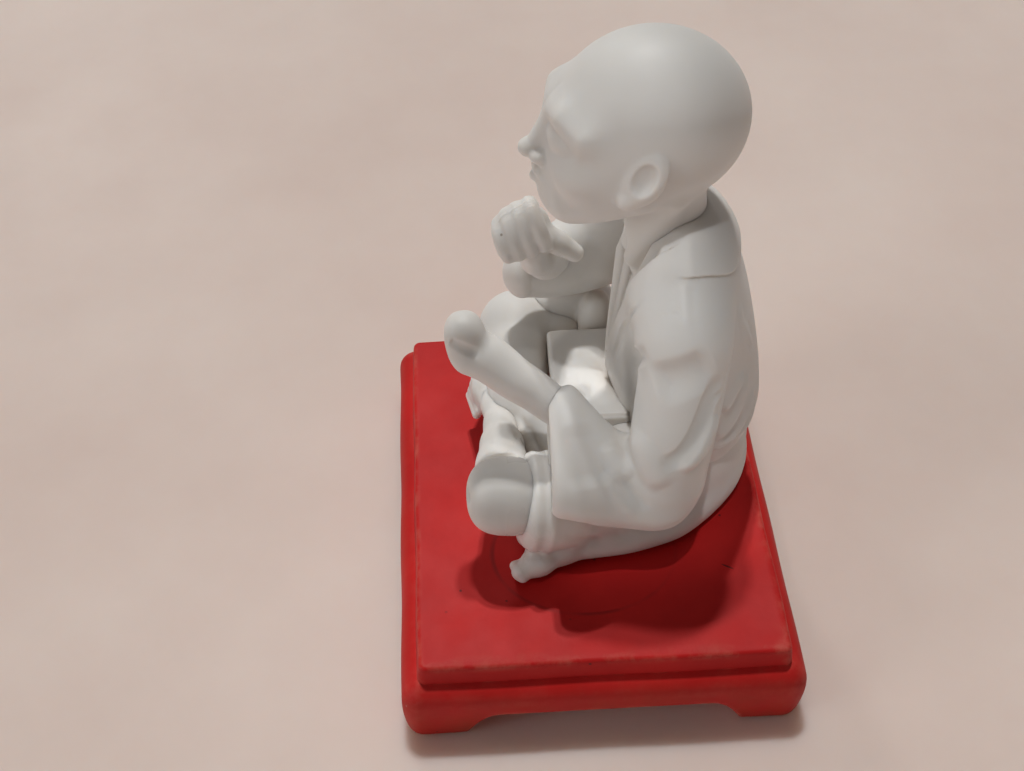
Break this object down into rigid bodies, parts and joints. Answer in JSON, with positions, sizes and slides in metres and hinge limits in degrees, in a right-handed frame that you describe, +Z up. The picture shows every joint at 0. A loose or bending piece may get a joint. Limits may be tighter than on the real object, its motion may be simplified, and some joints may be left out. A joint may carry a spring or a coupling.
{
  "type": "seated figurine on stand",
  "caption": "Satin white porcelain figurine of a bald robed man seated cross-legged, fist at chin, resting on a red lacquered stand with bracket feet.",
  "frame": {"origin": "middle of the stand's underside, on the surface that its feet rest on", "axes": "+Z up; the figure faces -Y and its left hand is on the +X side"},
  "size_m": [0.098, 0.08, 0.1244],
  "materials": {
    "porcelain": "satin, unglazed white",
    "red_lacquer": "satin red lacquer, thin at the edges"
  },
  "bodies": {
    "stand": {"stand_front_rail": "red_lacquer", "stand_back_rail": "red_lacquer", "stand_left_rail": "red_lacquer", "stand_right_rail": "red_lacquer", "stand_panel": "red_lacquer"},
    "figure": {"robe_trunk": "porcelain", "robe_skirt": "porcelain", "head": "porcelain", "collar": "porcelain", "left_sleeve": "porcelain", "left_forearm": "porcelain", "right_sleeve": "porcelain", "right_forearm": "porcelain", "left_leg": "porcelain", "left_hem": "porcelain", "right_leg": "porcelain", "left_foot": "porcelain", "right_foot": "porcelain", "lap_cloth": "porcelain"}
  },
  "joints": [
    {"name": "figure_lift", "type": "slide", "parent": "stand", "child": "figure", "axis": [0, 0, 1], "range_m": [0, 0.03]}
  ]
}
